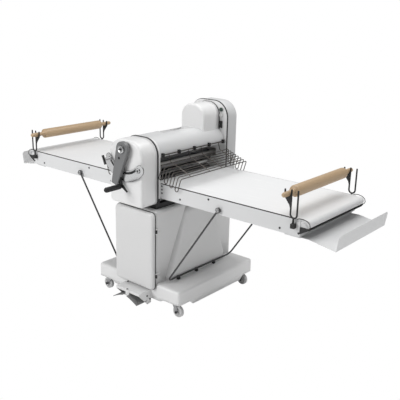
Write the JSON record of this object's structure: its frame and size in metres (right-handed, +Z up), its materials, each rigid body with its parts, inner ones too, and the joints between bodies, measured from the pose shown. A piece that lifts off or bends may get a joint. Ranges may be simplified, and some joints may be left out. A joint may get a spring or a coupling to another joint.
{
  "type": "reversible dough sheeter",
  "caption": "Floor-standing dough sheeter with folding belt tables, wire guards, rolling pins on forks, a thickness lever and a wheeled cabinet.",
  "frame": {"origin": "on the floor, under the middle of the box around the machine", "axes": "+X along the belts to the right table, +Y from the lever side to the control column, +Z up"},
  "size_m": [2.8126, 1.113, 1.337],
  "materials": {
    "white_enamel": "smooth gloss powder coat",
    "table_enamel": "smooth satin powder coat",
    "tray_enamel": "satin powder coat, slightly worn inside",
    "cabinet_enamel": "fine textured powder coat",
    "cover_enamel": "smooth satin powder coat",
    "black_rubber": "matt",
    "black_enamel": "semi-gloss",
    "castor_steel": "zinc plated",
    "castor_tyre": "matt grey tread",
    "motor_paint": "satin",
    "chain_steel": "oiled",
    "flour_steel": "brushed",
    "black_plastic": "fine grain",
    "guard_wire": "satin, coated wire",
    "roller_chrome": "polished",
    "shaft_steel": "turned",
    "scraper_steel": "ground",
    "lever_enamel": "satin",
    "sector_steel": "polished, brushed along the arc",
    "green_plastic": "gloss",
    "ring_plastic": "gloss with a dark ring",
    "switch_plastic": "gloss",
    "belt_cloth": "coated woven belt",
    "beech": "turned, oiled",
    "strut_steel": "graphite, satin"
  },
  "bodies": {
    "machine": {"chassis_cover": "white_enamel", "chassis_frame": "black_enamel", "cabinet_shell": "cabinet_enamel", "door_hinges": "black_enamel", "drive_motor": "motor_paint", "drive_chains": "chain_steel", "base_frame": "black_enamel", "front_side_plate": "white_enamel", "rear_side_plate": "white_enamel", "front_head_cover": "white_enamel", "front_head_seal": "black_rubber", "column_cover": "cover_enamel", "column_seal": "black_rubber", "control_box": "white_enamel", "roller_cover": "cover_enamel", "guard_hinge_blocks": "black_plastic", "lower_bearings": "chain_steel", "lower_scrapers": "scraper_steel", "thickness_sector": "sector_steel", "sector_stops": "black_plastic", "pedal_bracket": "white_enamel", "strut_rests": "black_plastic"},
    "door": {"cabinet_door": "cabinet_enamel"},
    "lower_roller": {"lower_roller": "roller_chrome"},
    "carriage": {"roller_carriage": "chain_steel"},
    "upper_roller": {"upper_roller": "roller_chrome"},
    "lever": {"lift_shaft": "shaft_steel", "lever_arm": "lever_enamel", "lever_grip": "black_plastic"},
    "flour_tray": {"flour_tray": "flour_steel"},
    "start_button": {"start_button": "green_plastic"},
    "stop_button": {"stop_button": "ring_plastic"},
    "rocker": {"rocker_switch": "switch_plastic"},
    "pedal": {"reversing_pedal": "black_rubber"},
    "castor_1": {"castor_fork_1": "castor_steel"},
    "wheel_1": {"castor_wheel_1": "castor_tyre"},
    "castor_2": {"castor_fork_2": "castor_steel"},
    "wheel_2": {"castor_wheel_2": "castor_tyre"},
    "castor_3": {"castor_fork_3": "castor_steel"},
    "wheel_3": {"castor_wheel_3": "castor_tyre"},
    "castor_4": {"castor_fork_4": "castor_steel"},
    "wheel_4": {"castor_wheel_4": "castor_tyre"},
    "right_table": {"right_table_frame": "table_enamel", "right_belt": "belt_cloth", "right_forks": "black_enamel"},
    "right_drive_roller": {"right_drive_roller": "shaft_steel"},
    "right_nose_roller": {"right_nose_roller": "shaft_steel"},
    "right_rolling_pin": {"right_rolling_pin": "beech"},
    "right_tray": {"right_tray": "tray_enamel"},
    "right_strut": {"right_strut": "strut_steel"},
    "right_guard": {"right_guard": "guard_wire"},
    "left_table": {"left_table_frame": "table_enamel", "left_belt": "belt_cloth", "left_forks": "black_enamel"},
    "left_drive_roller": {"left_drive_roller": "shaft_steel"},
    "left_nose_roller": {"left_nose_roller": "shaft_steel"},
    "left_rolling_pin": {"left_rolling_pin": "beech"},
    "left_tray": {"left_tray": "tray_enamel"},
    "left_strut": {"left_strut": "strut_steel"},
    "left_guard": {"left_guard": "guard_wire"}
  },
  "joints": [
    {"name": "castor_swivel_1", "type": "hinge", "parent": "machine", "child": "castor_1", "pos_m": [0.292, -0.2435, 0.1], "axis": [0, 0, 1], "continuous": true},
    {"name": "wheel_spin_1", "type": "hinge", "parent": "castor_1", "child": "wheel_1", "pos_m": [0.317, -0.2435, 0.04], "axis": [0, 1, 0], "continuous": true},
    {"name": "castor_swivel_2", "type": "hinge", "parent": "machine", "child": "castor_2", "pos_m": [-0.332, -0.2435, 0.1], "axis": [0, 0, 1], "continuous": true},
    {"name": "wheel_spin_2", "type": "hinge", "parent": "castor_2", "child": "wheel_2", "pos_m": [-0.357, -0.2435, 0.04], "axis": [0, 1, 0], "continuous": true},
    {"name": "castor_swivel_3", "type": "hinge", "parent": "machine", "child": "castor_3", "pos_m": [0.292, 0.4675, 0.1], "axis": [0, 0, 1], "continuous": true},
    {"name": "wheel_spin_3", "type": "hinge", "parent": "castor_3", "child": "wheel_3", "pos_m": [0.317, 0.4675, 0.04], "axis": [0, 1, 0], "continuous": true},
    {"name": "castor_swivel_4", "type": "hinge", "parent": "machine", "child": "castor_4", "pos_m": [-0.332, 0.4675, 0.1], "axis": [0, 0, 1], "continuous": true},
    {"name": "wheel_spin_4", "type": "hinge", "parent": "castor_4", "child": "wheel_4", "pos_m": [-0.357, 0.4675, 0.04], "axis": [0, 1, 0], "continuous": true},
    {"name": "door_swing", "type": "hinge", "parent": "machine", "child": "door", "pos_m": [0.164, -0.297, 0.4], "axis": [0, 0, 1], "range_deg": [0, 100]},
    {"name": "lower_roller_spin", "type": "hinge", "parent": "machine", "child": "lower_roller", "pos_m": [-0.02, 0.1015, 0.838], "axis": [0, 1, 0], "continuous": true},
    {"name": "lever_turn", "type": "hinge", "parent": "machine", "child": "lever", "pos_m": [-0.012, 0.1015, 1.112], "axis": [0, 1, 0], "range_deg": [-38, 22]},
    {"name": "carriage_lift", "type": "slide", "parent": "machine", "child": "carriage", "axis": [0, 0, 1], "range_m": [-0.0204, 0.0118]},
    {"name": "upper_roller_spin", "type": "hinge", "parent": "carriage", "child": "upper_roller", "pos_m": [-0.02, 0.1015, 0.944], "axis": [0, 1, 0], "continuous": true},
    {"name": "flour_tray_lift", "type": "slide", "parent": "machine", "child": "flour_tray", "axis": [0, 0, 1], "range_m": [0, 0.045]},
    {"name": "start_button_press", "type": "slide", "parent": "machine", "child": "start_button", "axis": [0, 1, 0], "range_m": [0, 0.003], "stiffness_N_per_m": 400, "springref_m": -0.002},
    {"name": "stop_button_press", "type": "slide", "parent": "machine", "child": "stop_button", "axis": [0, 1, 0], "range_m": [0, 0.003], "stiffness_N_per_m": 400, "springref_m": -0.002},
    {"name": "rocker_tilt", "type": "hinge", "parent": "machine", "child": "rocker", "pos_m": [0.102, 0.4315, 1.176], "axis": [1, 0, 0], "range_deg": [-6, 6]},
    {"name": "pedal_tilt", "type": "hinge", "parent": "machine", "child": "pedal", "pos_m": [0.002, -0.3615, 0.116], "axis": [0, 1, 0], "range_deg": [-12, 12], "stiffness_Nm_per_rad": 12},
    {"name": "right_fold", "type": "hinge", "parent": "machine", "child": "right_table", "pos_m": [0.09, 0.1015, 0.8467], "axis": [0, -1, 0], "range_deg": [0, 60]},
    {"name": "right_guard_lift", "type": "hinge", "parent": "machine", "child": "right_guard", "pos_m": [0.136, 0.1015, 1.062], "axis": [0, -1, 0], "range_deg": [0, 96]},
    {"name": "right_strut_swing", "type": "hinge", "parent": "right_table", "child": "right_strut", "pos_m": [0.615, 0.1015, 0.808], "axis": [0, -1, 0], "range_deg": [-40, 0]},
    {"name": "right_drive_spin", "type": "hinge", "parent": "right_table", "child": "right_drive_roller", "pos_m": [0.09, 0.1015, 0.8467], "axis": [0, 1, 0], "continuous": true},
    {"name": "right_nose_spin", "type": "hinge", "parent": "right_table", "child": "right_nose_roller", "pos_m": [1.211, 0.1015, 0.8537], "axis": [0, 1, 0], "continuous": true},
    {"name": "right_pin_roll", "type": "hinge", "parent": "right_table", "child": "right_rolling_pin", "pos_m": [1.098, 0.1015, 1.015], "axis": [0, 1, 0], "continuous": true},
    {"name": "right_tray_slide", "type": "slide", "parent": "right_table", "child": "right_tray", "axis": [1, 0, 0], "range_m": [-0.04, 0.02]},
    {"name": "left_fold", "type": "hinge", "parent": "machine", "child": "left_table", "pos_m": [-0.13, 0.1015, 0.8467], "axis": [0, 1, 0], "range_deg": [0, 60]},
    {"name": "left_guard_lift", "type": "hinge", "parent": "machine", "child": "left_guard", "pos_m": [-0.176, 0.1015, 1.062], "axis": [0, 1, 0], "range_deg": [0, 96]},
    {"name": "left_strut_swing", "type": "hinge", "parent": "left_table", "child": "left_strut", "pos_m": [-0.655, 0.1015, 0.808], "axis": [0, 1, 0], "range_deg": [-40, 0]},
    {"name": "left_drive_spin", "type": "hinge", "parent": "left_table", "child": "left_drive_roller", "pos_m": [-0.13, 0.1015, 0.8467], "axis": [0, 1, 0], "continuous": true},
    {"name": "left_nose_spin", "type": "hinge", "parent": "left_table", "child": "left_nose_roller", "pos_m": [-1.251, 0.1015, 0.8537], "axis": [0, 1, 0], "continuous": true},
    {"name": "left_pin_roll", "type": "hinge", "parent": "left_table", "child": "left_rolling_pin", "pos_m": [-1.138, 0.1015, 1.015], "axis": [0, 1, 0], "continuous": true},
    {"name": "left_tray_slide", "type": "slide", "parent": "left_table", "child": "left_tray", "axis": [-1, 0, 0], "range_m": [0, 0.06]}
  ],
  "couplings": [
    {"joint": "carriage_lift", "follows": "lever_turn", "m_per_rad": 0.0305},
    {"joint": "upper_roller_spin", "follows": "lower_roller_spin", "ratio": -1},
    {"joint": "right_guard_lift", "follows": "right_fold", "ratio": 1.583},
    {"joint": "right_strut_swing", "follows": "right_fold", "ratio": -0.6525},
    {"joint": "right_drive_spin", "follows": "lower_roller_spin", "ratio": 1},
    {"joint": "right_nose_spin", "follows": "lower_roller_spin", "ratio": 1.3182},
    {"joint": "left_guard_lift", "follows": "left_fold", "ratio": 1.583},
    {"joint": "left_strut_swing", "follows": "left_fold", "ratio": -0.6525},
    {"joint": "left_drive_spin", "follows": "lower_roller_spin", "ratio": 1},
    {"joint": "left_nose_spin", "follows": "lower_roller_spin", "ratio": 1.3182}
  ]
}
